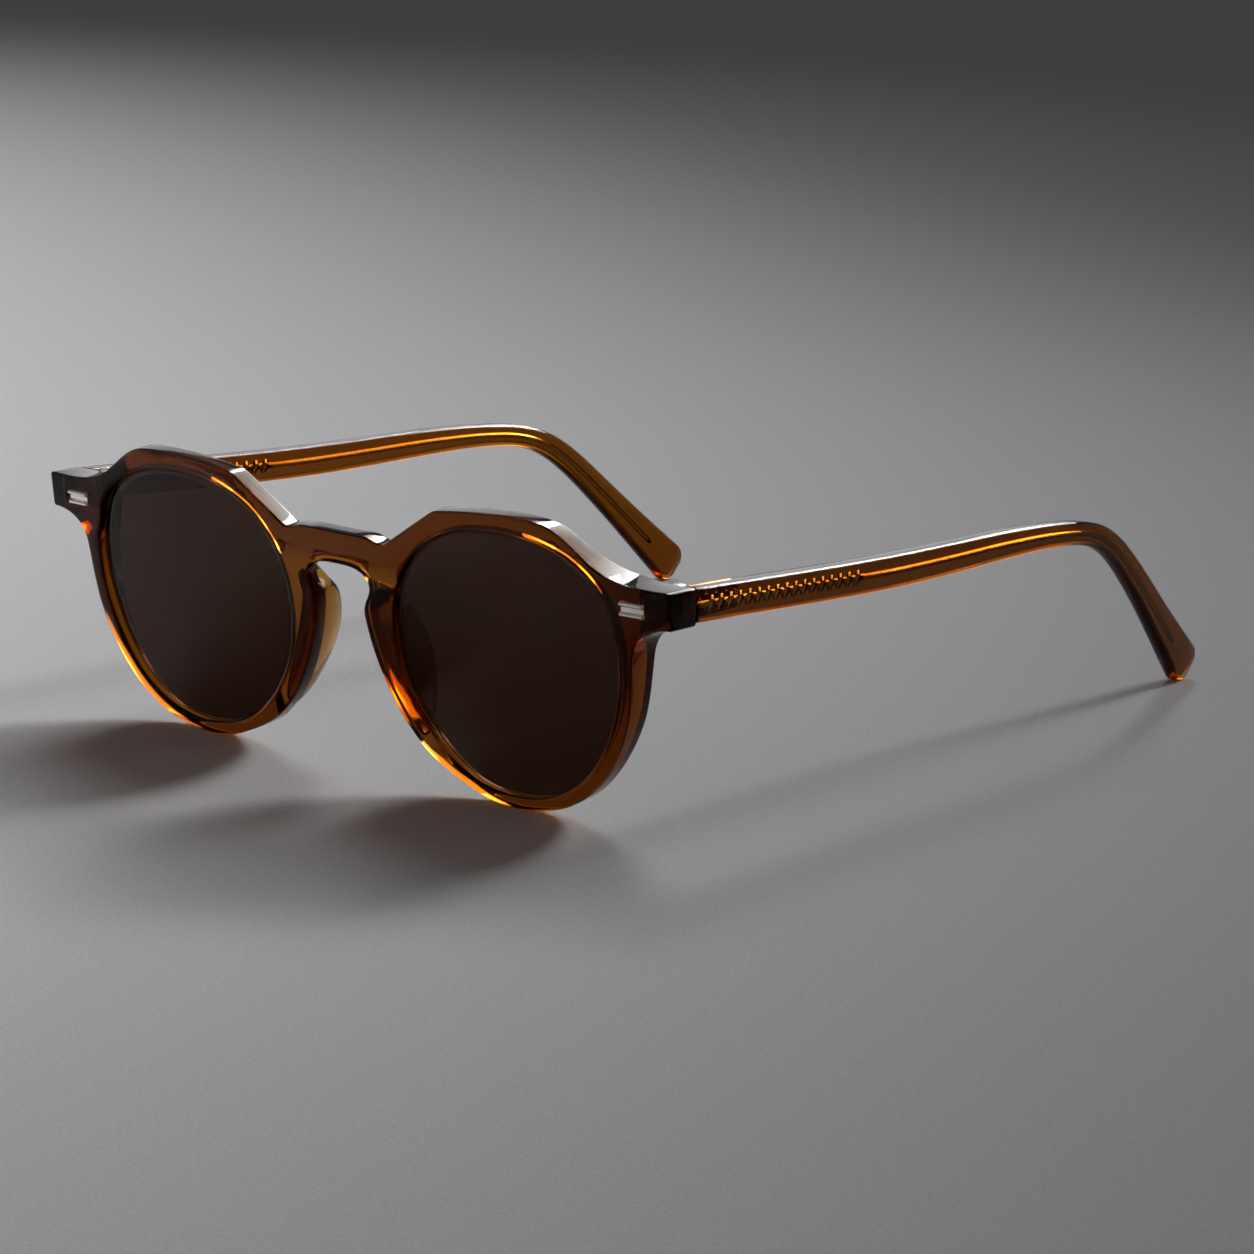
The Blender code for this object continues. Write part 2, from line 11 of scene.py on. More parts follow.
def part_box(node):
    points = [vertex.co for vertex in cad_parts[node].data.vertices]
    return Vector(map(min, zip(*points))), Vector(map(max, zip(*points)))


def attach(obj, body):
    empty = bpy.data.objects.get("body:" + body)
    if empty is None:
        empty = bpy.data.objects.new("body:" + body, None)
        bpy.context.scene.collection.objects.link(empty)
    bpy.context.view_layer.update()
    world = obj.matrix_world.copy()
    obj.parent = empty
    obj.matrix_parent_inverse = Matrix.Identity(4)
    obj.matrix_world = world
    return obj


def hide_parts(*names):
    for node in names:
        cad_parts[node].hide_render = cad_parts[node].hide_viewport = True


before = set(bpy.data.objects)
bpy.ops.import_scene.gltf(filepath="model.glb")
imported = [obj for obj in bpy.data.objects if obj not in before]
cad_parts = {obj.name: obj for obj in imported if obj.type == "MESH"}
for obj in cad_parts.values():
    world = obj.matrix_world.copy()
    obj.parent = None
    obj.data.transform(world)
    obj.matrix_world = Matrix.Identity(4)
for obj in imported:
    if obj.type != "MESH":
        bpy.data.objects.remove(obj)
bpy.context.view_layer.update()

bl_info = {
    "name": "Panto Sunglasses",
    "version": (1, 0, 0),
    "blender": (4, 5, 0),
    "location": "3D Viewport > Sidebar > Eyewear",
    "description": "Builds clear acetate sunglasses with wire-cored temples on a fixed frame",
    "category": "Object",
}

MM = 0.001
SIDES = (("left", 1), ("right", -1))

# The front in its own plane, in millimetres: x across, v up the leaning face, d back from it.
TILT = math.radians(6.3)
WRAP = 0.0003
END_BACK_Y = 3.4
END_RAMP = (50.0, 61.5)
SEAT_ACROSS = (19.5, 17.0)
SEAT_LOW = (4.5, 7.5)
SEAT_HIGH = (36.5, 33.5)
BRIDGE_TOP = [(0, 39.85), (4, 39.85), (7.6, 39.85), (9.2, 39.35), (10.4, 39.1), (11.3, 39.25),
              (21.6, 45.61), (22.1, 45.91), (22.55, 46.12), (23.0, 46.27)]
BROW = [(23.5, 46.37), (29, 47.0), (35, 47.4), (41, 47.5), (45.6, 47.15), (48.8, 46.0),
        (51.8, 44.1), (54.8, 42.1), (58, 40.75), (61.5, 40.05), (65.5, 39.85), (69.45, 39.9)]
END_SIDE = [(69.66, 39.86), (69.84, 39.74), (69.96, 39.56), (70, 39.35), (70, 34.5),
            (69.96, 34.29), (69.84, 34.11), (69.66, 33.99)]
RIM_OUTER = [(69.45, 33.94), (68.2, 33.85), (66.2, 33.4), (64.6, 32.7), (63.1, 31.5), (62.1, 29.6),
             (61.6, 26.6), (61.0, 22.3), (59.9, 17.8), (57.6, 12.9), (54.4, 8.4), (50.4, 4.7),
             (45.5, 2.0), (40, 0.6), (34.5, 0.05), (29.3, 0.75), (24.6, 2.4), (20, 4.5),
             (16, 7.2), (12.2, 11.2), (9.3, 15.8), (7.3, 20.2), (6.2, 23.6), (5.5, 27.2),
             (5.9, 28.9), (6.8, 30.5), (7.1, 31.8), (6.4, 33.1), (4.7, 34.05), (2.4, 34.45),
             (0, 34.5)]
APERTURE = [(35, 44.6), (27, 43.6), (19.3, 40), (14.1, 34), (12.1, 26), (13.4, 17.3),
            (18.6, 9.4), (26, 4), (35, 2.2), (44, 3.8), (51.8, 9.4), (56.9, 18.2),
            (58.4, 28), (56.2, 36.6), (50.5, 41.7), (43, 44.1)]
APERTURE_CENTRE = (35.2, 23.5)

# Nose pads, as sections stacked up the rim: v, reach behind the front, flare off the nose, width.
PAD_SECTIONS = [(8.6, 3.5, 0.2, 1.2), (10.2, 4.9, 0.5, 2.7), (13, 6.6, 1.1, 3.8),
                (16.5, 8.3, 1.7, 4.4), (20, 9.1, 2.0, 4.6), (23.5, 8.9, 2.0, 4.5),
                (26.5, 7.9, 1.7, 4.2), (29.2, 6.2, 1.2, 3.8), (31.2, 4.7, 0.8, 3.0),
                (32.3, 3.4, 0.4, 1.6)]

# Hinge axis and plaque, in millimetres.
AXIS = (65.0, 4.95)
SCREW_FOOT = 34.8
PLAQUE_X = (60.5, 64.9)
PLAQUE_V = (35.15, 37.6)
PLAQUE_END = 0.22
BAR_RADIUS, BAR_HEIGHT, PLATE_HEIGHT, PLAQUE_SEAT = 0.42, 0.55, 0.02, 0.3

# Temple stations: y, z, height, outer face x, thickness.
TEMPLE = [(3.55, 37.0, 5.3, 70.0, 3.3), (15, 36.35, 5.3, 69.7, 3.3), (28, 35.55, 5.3, 69.3, 3.2),
          (41, 34.8, 5.3, 68.8, 3.1), (54, 34.25, 5.25, 68.4, 3.0), (67, 34.0, 5.0, 68.0, 2.95),
          (80, 33.85, 4.7, 67.5, 2.9), (91, 33.45, 4.3, 67.1, 2.85), (99, 32.8, 4.1, 66.7, 2.8),
          (104.5, 31.9, 4.1, 66.3, 2.8), (109, 30.4, 4.3, 65.9, 2.8), (113.5, 27.8, 4.6, 65.4, 2.8),
          (118.5, 23.7, 4.95, 64.7, 2.8), (124.5, 18.0, 5.4, 63.8, 2.8),
          (130.5, 12.1, 6.1, 62.8, 2.9), (135.5, 7.2, 6.9, 62.0, 3.0), (139.2, 3.6, 7.6, 61.4, 3.0)]
TIP_REACH = 2.8
TIP_DROP = (3.0, 1.0)

# Core wire inside each temple.
CORE_START_Y, CORE_END_Y = 4.6, 134.5
CORE_SHIFT = (16.0, 40.0)
CORE_ROOT, CORE_RIB = (0.55, 0.34), (1.25, 0.55)
RIB_SHAPE = ((0.0, 0.0), (0.12, 0.6), (0.32, 0.92), (0.7, 1.0), (1.05, 0.92), (1.25, 0.6),
             (1.37, 0.0))
RIB_LEAN = 0.3

# Softboxes and panels: place and aim in metres, size, spread in degrees.
KEY = ((-1.25, 0.8, 1.6), (-0.85, -1.0, 0.0), (1.2, 1.2), 60.0)
FILL = ((-0.3, 0.95, 1.2), (-0.95, -1.45, 0.0), (1.2, 1.2), 45.0)
SHEEN = ((-0.02, 0.56, 0.94), (0.0, -0.06, 0.03), (1.4, 1.4), 180.0)
BACK = ((-1.5, 1.6, 0.55), (0.0, -0.05, 0.03), (1.6, 0.8), 180.0)
FLOOR_REACH = 5.0
STUDIO_GREY = (0.15, 0.15, 0.152, 1.0)


class FrontSettings(bpy.types.PropertyGroup):
    """The acetate front."""
    thickness: FloatProperty(name="Thickness", description="Front to back through the rim",
                             default=0.0034, min=0.002, max=0.006, unit="LENGTH")
    seat: FloatProperty(name="Nose seat", description="Thickness where the pads are glued on",
                        default=0.0025, min=0.0015, max=0.006, unit="LENGTH")
    edge: FloatProperty(name="Edge rounding", description="Rounding of the outer edges",
                        default=0.00045, min=0.0001, max=0.0012, unit="LENGTH")
    bevel: FloatProperty(name="Lens bevel", description="Width of the bevel round each lens",
                         default=0.0008, min=0.0001, max=0.0015, unit="LENGTH")
    sink: FloatProperty(name="Bevel depth", description="How far that bevel falls back",
                        default=0.0006, min=0.0001, max=0.0012, unit="LENGTH")
    tint: FloatVectorProperty(name="Surface tint", description="Tint the surface gives to light",
                              subtype="COLOR", default=(0.96, 0.84, 0.62), min=0.0, max=1.0)
    depth: FloatVectorProperty(name="Depth colour", description="Colour that light keeps inside",
                               subtype="COLOR", default=(0.733, 0.52, 0.033), min=0.0, max=1.0)
    density: FloatProperty(name="Depth density", description="Absorption per metre",
                           default=1600.0, min=0.0, max=5000.0)


class LensSettings(bpy.types.PropertyGroup):
    """The tinted lenses."""
    front: FloatProperty(name="Front depth", description="Lens front behind the face at its edge",
                         default=0.00105, min=0.0004, max=0.0015, unit="LENGTH")
    back: FloatProperty(name="Back depth", description="Lens back behind the face at its edge",
                        default=0.0024, min=0.0016, max=0.003, unit="LENGTH")
    bulge: FloatProperty(name="Bulge", description="How far the middle stands out",
                         default=0.0005, min=0.0, max=0.001, unit="LENGTH")
    depth: FloatVectorProperty(name="Tint", description="Colour that light keeps inside",
                               subtype="COLOR", default=(0.30, 0.14, 0.04), min=0.0, max=1.0)
    density: FloatProperty(name="Tint density", description="Absorption per metre",
                           default=3000.0, min=0.0, max=9000.0)


class PadSettings(bpy.types.PropertyGroup):
    """The nose pads."""
    clearance: FloatProperty(name="Glue line", description="Gap to the rim",
                             default=0.00005, min=0.00001, max=0.0003, unit="LENGTH")
    depth: FloatVectorProperty(name="Depth colour", description="Colour that light keeps inside",
                               subtype="COLOR", default=(0.8, 0.62, 0.1), min=0.0, max=1.0)
    density: FloatProperty(name="Depth density", description="Absorption per metre",
                           default=750.0, min=0.0, max=5000.0)


class MetalSettings(bpy.types.PropertyGroup):
    """Plaques, hinges, pins, screws and core wires."""
    silver: FloatVectorProperty(name="Plaque metal", description="Colour of the plaques",
                                subtype="COLOR", default=(0.95, 0.92, 0.87), min=0.0, max=1.0)
    steel: FloatVectorProperty(name="Hinge metal", description="Colour of hinges and wires",
                               subtype="COLOR", default=(0.82, 0.78, 0.72), min=0.0, max=1.0)
    ease: FloatProperty(name="Hinge edge", description="Rounding of the hinge edges",
                        default=0.00008, min=0.0, max=0.0003, unit="LENGTH")


class TempleSettings(bpy.types.PropertyGroup):
    """The temples and their cores."""
    edge: FloatProperty(name="Edge rounding", description="Rounding of the edges at the hinge",
                        default=0.00055, min=0.0001, max=0.0014, unit="LENGTH")
    tip_edge: FloatProperty(name="Tip rounding", description="Rounding of the edges at the tip",
                            default=0.00125, min=0.0001, max=0.0014, unit="LENGTH")
    ribs: IntProperty(name="Ribs", description="Ribs on the core next to the hinge",
                      default=17, min=0, max=40)
    first_rib: FloatProperty(name="First rib", description="Its distance behind the rims",
                             default=0.0065, min=0.005, max=0.02, unit="LENGTH")
    pitch: FloatProperty(name="Rib pitch", description="Distance from rib to rib",
                         default=0.0022, min=0.001, max=0.005, unit="LENGTH")
    wire: FloatProperty(name="Wire radius", description="Radius of the plain part of the core",
                        default=0.0005, min=0.0002, max=0.001, unit="LENGTH")


class StageSettings(bpy.types.PropertyGroup):
    """Floor, light and camera."""
    azimuth: FloatProperty(name="Camera azimuth", description="Where the camera stands",
                           default=math.radians(42.858), subtype="ANGLE")
    elevation: FloatProperty(name="Camera elevation", description="How far it looks down",
                             default=math.radians(12.956), subtype="ANGLE")
    place: FloatVectorProperty(name="Camera place", description="Position of the camera",
                               subtype="XYZ", unit="LENGTH", default=(0.49376, -0.53737, 0.17966))
    lens: FloatProperty(name="Focal length", description="Focal length in millimetres",
                        default=126.6, min=20.0, max=300.0)
    floor: FloatVectorProperty(name="Floor", description="Colour of the floor",
                               subtype="COLOR", default=(0.34, 0.34, 0.345), min=0.0, max=1.0)
    key: FloatProperty(name="Key light", description="Power of each softbox above and behind",
                       default=21.0, min=0.0, max=200.0, unit="POWER")
    sheen: FloatProperty(name="Sheen panel", description="Power of the panel seen in the gloss",
                         default=48.0, min=0.0, max=200.0, unit="POWER")
    back: FloatProperty(name="Back panel", description="Power of the low panel behind",
                        default=3.0, min=0.0, max=200.0, unit="POWER")


SETTINGS = {
    "eyewear_front": FrontSettings,
    "eyewear_lens": LensSettings,
    "eyewear_pad": PadSettings,
    "eyewear_metal": MetalSettings,
    "eyewear_temple": TempleSettings,
    "eyewear_stage": StageSettings,
}


def frame_offset():
    """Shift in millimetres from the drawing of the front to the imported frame."""
    low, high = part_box("hinge_screw_left")
    mid = (low + high) / 2 / MM
    return Vector((0.0, mid.y - AXIS[1], low.z / MM - SCREW_FOOT))


def smooth(a, b, t):
    u = min(1.0, max(0.0, (t - a) / (b - a)))
    return u * u * (3 - 2 * u)


def spline(points, steps, closed=False):
    """Catmull-Rom curve through the points; an open one leaves out its last point."""
    n = len(points)
    out = []
    for i in range(n if closed else n - 1):
        if closed:
            p0, p1, p2, p3 = (points[(i + k) % n] for k in (-1, 0, 1, 2))
        else:
            p0, p3 = points[max(i - 1, 0)], points[min(i + 2, n - 1)]
            p1, p2 = points[i], points[i + 1]
        for s in range(steps):
            t = s / steps
            out.append(tuple(0.5 * (2 * b + (c - a) * t + (2 * a - 5 * b + 4 * c - d) * t * t
                                    + (3 * b - a - 3 * c + d) * t ** 3)
                             for a, b, c, d in zip(p0, p1, p2, p3)))
    return out


def offset(loop, dist):
    """Mitred offset of a closed outline; a positive distance goes to the left of travel."""
    out = []
    n = len(loop)
    for i in range(n):
        here = Vector(loop[i])
        a = (here - Vector(loop[i - 1])).normalized()
        b = (Vector(loop[(i + 1) % n]) - here).normalized()
        na, nb = Vector((-a.y, a.x)), Vector((-b.y, b.x))
        mid = (na + nb).normalized()
        out.append(tuple(here + mid * (dist / max(0.5, mid.dot(na)))))
    return out


def inside(p, loop):
    """Whether the point lies within the closed outline."""
    hit = False
    for i in range(len(loop)):
        (x1, y1), (x2, y2) = loop[i - 1], loop[i]
        if (y1 > p[1]) != (y2 > p[1]) and p[0] < (x2 - x1) * (p[1] - y1) / (y2 - y1) + x1:
            hit = not hit
    return hit


def quarter(width, depth, steps=5):
    """Quarter ellipse from the flat face at inset width to the wall at that depth."""
    out = []
    for k in range(steps + 1):
        a = 0.5 * math.pi * k / steps
        out.append((width * (1 - math.sin(a)), depth * (1 - math.cos(a))))
    return out


def on_front(x, v, d=0.0):
    """Point at depth d behind the leaning, slightly wrapped front face."""
    d = d + WRAP * x * x
    return Vector((x, -v * math.sin(TILT) + d * math.cos(TILT),
                   v * math.cos(TILT) + d * math.sin(TILT)))


def front_back(x, v, front):
    """The back face opposite the same spot; the end pieces run deeper."""
    seat = (smooth(*SEAT_ACROSS, abs(x)) * smooth(*SEAT_LOW, v) * smooth(*SEAT_HIGH, v))
    thick = (front.thickness + (front.seat - front.thickness) * seat) / MM
    deep = Vector((x, END_BACK_Y, on_front(x, v).z))
    return on_front(x, v, thick).lerp(deep, smooth(*END_RAMP, abs(x)))


def from_face(x, v, d, front):
    """Point at depth d from the face, towards the back."""
    face, back = on_front(x, v), front_back(x, v, front)
    return face.lerp(back, d / (back - face).length)


def from_back(x, v, d, front):
    """Point at depth d from the back, towards the face."""
    face, back = on_front(x, v), front_back(x, v, front)
    return back.lerp(face, d / (back - face).length)


def front_outline(steps=5):
    """Outline of the front, mirrored about the middle of the bridge."""
    half = BRIDGE_TOP + spline(BROW, steps) + [BROW[-1]] + END_SIDE
    half += spline(RIM_OUTER, steps) + [RIM_OUTER[-1]]
    return half + [(-x, v) for x, v in half[-2:0:-1]]


def aperture_outline(side, steps=9):
    """Lens opening, counter-clockwise as seen from the front of the drawing."""
    loop = [(side * x, v) for x, v in spline(APERTURE, steps, closed=True)]
    return loop if side > 0 else loop[::-1]


def loft(rings, close_start=True, close_end=True):
    """Closed strips between rings of equal count, with flat ends."""
    n = len(rings[0])
    verts = [p for ring in rings for p in ring]
    faces = []
    for k in range(len(rings) - 1):
        for i in range(n):
            j = (i + 1) % n
            faces.append((k * n + i, k * n + j, (k + 1) * n + j, (k + 1) * n + i))
    if close_start:
        faces.append(tuple(range(n))[::-1])
    if close_end:
        faces.append(tuple(range((len(rings) - 1) * n, len(rings) * n)))
    return verts, faces


def piece(name, verts, faces, mat, body, stands_for, sharp=40.0):
    """A closed mesh in the row frame that rides on a body and stands for a CAD node."""
    shift = frame_offset()
    mesh = bpy.data.meshes.new(name)
    mesh.from_pydata([(Vector(v) + shift) * MM for v in verts], [], faces)
    mesh.materials.append(mat)
    bm = bmesh.new()
    bm.from_mesh(mesh)
    bmesh.ops.remove_doubles(bm, verts=bm.verts, dist=1e-6)
    bmesh.ops.recalc_face_normals(bm, faces=bm.faces)
    bm.to_mesh(mesh)
    bm.free()
    mesh.shade_smooth()
    mesh.set_sharp_from_angle(angle=math.radians(sharp))
    obj = bpy.data.objects.new(name, mesh)
    bpy.context.scene.collection.objects.link(obj)
    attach(obj, body)
    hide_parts(stands_for)
    return obj


def arm_body(label):
    return "temple_" + label + "_arm"


# ---- Finishes ----


def shader_tree(name):
    mat = bpy.data.materials.new(name)
    mat.use_nodes = True
    tree = mat.node_tree
    return mat, tree, tree.nodes["Principled BSDF"]


def noise_of(tree, scale, detail=2.0):
    """Noise in the row frame, so that it stays with the piece."""
    where = tree.nodes.new("ShaderNodeTexCoord")
    noise = tree.nodes.new("ShaderNodeTexNoise")
    noise.inputs["Scale"].default_value = scale
    noise.inputs["Detail"].default_value = detail
    tree.links.new(where.outputs["Object"], noise.inputs["Vector"])
    return noise


def ranged(tree, source, low, high):
    """The source mapped from 0.3..0.7 to low..high."""
    node = tree.nodes.new("ShaderNodeMapRange")
    node.inputs["From Min"].default_value = 0.3
    node.inputs["From Max"].default_value = 0.7
    node.inputs["To Min"].default_value = low
    node.inputs["To Max"].default_value = high
    tree.links.new(source, node.inputs["Value"])
    return node.outputs["Result"]


def mixed(tree, source, low, high):
    """Two colours blended by the source."""
    node = tree.nodes.new("ShaderNodeMix")
    node.data_type = "RGBA"
    node.inputs["A"].default_value = (*low, 1.0)
    node.inputs["B"].default_value = (*high, 1.0)
    tree.links.new(source, node.inputs["Factor"])
    return node.outputs["Result"]


def bumped(tree, shader, source, strength, distance):
    node = tree.nodes.new("ShaderNodeBump")
    node.inputs["Strength"].default_value = strength
    node.inputs["Distance"].default_value = distance
    tree.links.new(source, node.inputs["Height"])
    tree.links.new(node.outputs["Normal"], shader.inputs["Normal"])


def clear_material(name, tint, depth, density, gloss=(0.01, 0.03), ior=1.49,
                   glint=(0.16, 0.08, 0.02)):
    """Polished transparent plastic: faint cloudiness in the sheet and a hand-buffed surface.

    Glint tints the mirror reflection, so that dark faces stay dark.
    """
    mat, tree, shader = shader_tree(name)
    cloud = noise_of(tree, 90.0, 3.0)
    share = ranged(tree, cloud.outputs["Fac"], 0.0, 1.0)
    darker = tuple(c * f for c, f in zip(tint, (0.97, 0.93, 0.88)))
    tree.links.new(mixed(tree, share, darker, tint), shader.inputs["Base Color"])
    buff = noise_of(tree, 420.0, 2.0)
    rough = ranged(tree, buff.outputs["Fac"], *gloss)
    tree.links.new(rough, shader.inputs["Roughness"])
    bumped(tree, shader, buff.outputs["Fac"], 0.02, 0.0002)
    shader.inputs["IOR"].default_value = ior
    shader.inputs["Specular Tint"].default_value = (*glint, 1.0)
    shader.inputs["Transmission Weight"].default_value = 1.0
    inside_node = tree.nodes.new("ShaderNodeVolumeAbsorption")
    inside_node.inputs["Color"].default_value = (*depth, 1.0)
    inside_node.inputs["Density"].default_value = density
    tree.links.new(inside_node.outputs["Volume"], tree.nodes["Material Output"].inputs["Volume"])
    return mat


def metal_material(name, colour, gloss, grain):
    """Metal with a fine drawn grain and slight tarnish."""
    mat, tree, shader = shader_tree(name)
    stain = noise_of(tree, 500.0, 3.0)
    share = ranged(tree, stain.outputs["Fac"], 0.0, 1.0)
    duller = tuple(c * f for c, f in zip(colour, (0.84, 0.80, 0.74)))
    tree.links.new(mixed(tree, share, duller, colour), shader.inputs["Base Color"])
    fine = noise_of(tree, grain, 2.0)
    tree.links.new(ranged(tree, fine.outputs["Fac"], *gloss), shader.inputs["Roughness"])
    bumped(tree, shader, fine.outputs["Fac"], 0.03, 0.00001)
    shader.inputs["Metallic"].default_value = 1.0
    return mat


def finish_of(name):
    """The named finish, made once and shared."""
    if name in bpy.data.materials:
        return bpy.data.materials[name]
    scene = bpy.context.scene
    front, pad, lens = scene.eyewear_front, scene.eyewear_pad, scene.eyewear_lens
    metal = scene.eyewear_metal
    if name == "clear_amber":
        return clear_material(name, tuple(front.tint), tuple(front.depth), front.density)
    if name == "milky_amber":
        return clear_material(name, tuple(front.tint), tuple(pad.depth), pad.density, (0.06, 0.12))
    if name == "brown_tint":
        return clear_material(name, (0.9, 0.84, 0.78), tuple(lens.depth), lens.density,
                              (0.01, 0.02), 1.45, (0.25, 0.17, 0.14))
    if name == "plaque_silver":
        return metal_material(name, tuple(metal.silver), (0.06, 0.12), 3000.0)
    if name == "hinge_steel":
        return metal_material(name, tuple(metal.steel), (0.05, 0.09), 2500.0)
    raise ValueError("no finish named " + name)


# ---- Front ----


def cap_points(outer, holes, pitch=1.6):
    """Points spread over the face in staggered rows, clear of its edges."""
    out = []
    edge = offset(outer, -0.5)
    rings = [offset(h, -0.5) for h in holes]
    for j in range(31):
        for i in range(-44, 45):
            p = ((i + 0.5 * (j % 2)) * pitch, 0.4 + j * pitch)
            if inside(p, edge) and not any(inside(p, r) for r in rings):
                out.append(p)
    return out


def triangulate(loops, extra):
    """Constrained triangles between the outline and its openings."""
    flat = [p for loop in loops for p in loop]
    edges = []
    base = 0
    for loop in loops:
        edges += [(base + i, base + (i + 1) % len(loop)) for i in range(len(loop))]
        base += len(loop)
    points = [Vector(p) for p in flat + extra]
    verts, _, faces, origin, _, _ = delaunay_2d_cdt(points, edges, [], 0, 1e-7)
    keep = []
    for face in faces:
        c = sum((verts[i] for i in face), Vector((0, 0))) / len(face)
        if inside(c, loops[0]) and not any(inside(c, h) for h in loops[1:]):
            keep.append(tuple(origin[i][0] for i in face))
    return keep


def front_profiles(front, lens):
    """Edge profiles as (way, inset, depth): the outer edge, then that of a lens opening."""
    edge = front.edge / MM
    outer = [("face", i, d) for i, d in quarter(edge, edge)]
    outer += [("back", i, d) for i, d in reversed(quarter(edge, edge))]
    opening = [("face", i, d) for i, d in quarter(front.bevel / MM, front.sink / MM)]
    groove_front, groove_back = lens.front / MM - 0.05, lens.back / MM + 0.03
    opening += [("depth", 0.0, groove_front),
                ("depth", 0.75, 0.5 * (groove_front + groove_back)),
                ("depth", 0.0, groove_back)]
    opening += [("back", i, d) for i, d in reversed(quarter(0.3, 0.3, 3))]
    return outer, opening


def profile_rings(loop, profile, front):
    rings = []
    for way, inset, depth in profile:
        flat = offset(loop, -inset)
        if way == "face":
            ring = [from_face(x, v, depth, front) for x, v in flat]
        elif way == "back":
            ring = [from_back(x, v, depth, front) for x, v in flat]
        else:
            ring = [on_front(x, v, depth) for x, v in flat]
        rings.append((flat, ring))
    return rings


class EYEWEAR_OT_front(bpy.types.Operator):
    """Build the acetate front: rims, keyhole bridge and end pieces in one solid"""
    bl_idname = "eyewear.front"
    bl_label = "Acetate Front"

    def execute(self, context):
        front, lens = context.scene.eyewear_front, context.scene.eyewear_lens
        outer_profile, opening_profile = front_profiles(front, lens)
        jobs = [(front_outline(), outer_profile), (aperture_outline(1), opening_profile),
                (aperture_outline(-1), opening_profile)]
        verts, faces = [], []
        caps = ([], [])
        for loop, profile in jobs:
            rings = profile_rings(loop, profile, front)
            start, n = len(verts), len(loop)
            strip, strip_faces = loft([r for _, r in rings], False, False)
            verts += strip
            faces += [tuple(start + i for i in f) for f in strip_faces]
            caps[0].append((rings[0][0], start))
            caps[1].append((rings[-1][0], start + (len(rings) - 1) * n))
        for side, surface in ((0, on_front), (1, lambda x, v: front_back(x, v, front))):
            loops = [c[0] for c in caps[side]]
            index = [c[1] + i for c in caps[side] for i in range(len(c[0]))]
            extra = cap_points(loops[0], loops[1:])
            base = len(verts)
            verts += [surface(x, v) for x, v in extra]
            index += [base + i for i in range(len(extra))]
            faces += [tuple(index[i] for i in f) for f in triangulate(loops, extra)]
        piece("acetate_front", verts, faces, finish_of("clear_amber"), "front",
              "front_frame")
        return {"FINISHED"}


# ---- Lenses ----


class EYEWEAR_OT_lenses(bpy.types.Operator):
    """Fit a tinted lens in the groove of each rim"""
    bl_idname = "eyewear.lenses"
    bl_label = "Lenses"

    def execute(self, context):
        lens = context.scene.eyewear_lens
        for label, side in SIDES:
            verts, faces = loft(self.rings(side, lens))
            piece("tinted_lens_" + label, verts, faces, finish_of("brown_tint"), "front",
                  "lens_" + label)
        return {"FINISHED"}

    def rings(self, side, lens):
        loop = aperture_outline(side)
        body, ridge = offset(loop, 0.05), offset(loop, -0.5)
        cx, cv = side * APERTURE_CENTRE[0], APERTURE_CENTRE[1]
        front, back, bulge = lens.front / MM, lens.back / MM, lens.bulge / MM
        middle = 0.5 * (front + back)

        def ring(scale, depth):
            rise = bulge * (1 - scale * scale)
            return [on_front(cx + (x - cx) * scale, cv + (v - cv) * scale, depth - rise)
                    for x, v in body]

        scales = [0.002, 0.15, 0.3, 0.45, 0.6, 0.72, 0.84, 0.93, 0.995]
        rings = [ring(s, front) for s in scales]
        rings.append([on_front(x, v, front + 0.08) for x, v in body])
        rings.append([on_front(x, v, middle - 0.25) for x, v in offset(loop, -0.2)])
        rings.append([on_front(x, v, middle) for x, v in ridge])
        rings.append([on_front(x, v, middle + 0.25) for x, v in offset(loop, -0.2)])
        rings.append([on_front(x, v, back - 0.08) for x, v in body])
        rings += [ring(s, back) for s in reversed(scales)]
        return rings


# ---- Nose pads ----


def nasal_edge(v):
    """x of the nose side of the rim at height v, from the outline itself."""
    pts = [p for p in spline(RIM_OUTER, 2) if p[0] < 34 and p[1] < 33.5]
    for (x1, v1), (x2, v2) in zip(pts, pts[1:]):
        if v1 <= v <= v2:
            return x1 + (x2 - x1) * (v - v1) / (v2 - v1)
    return pts[-1][0]


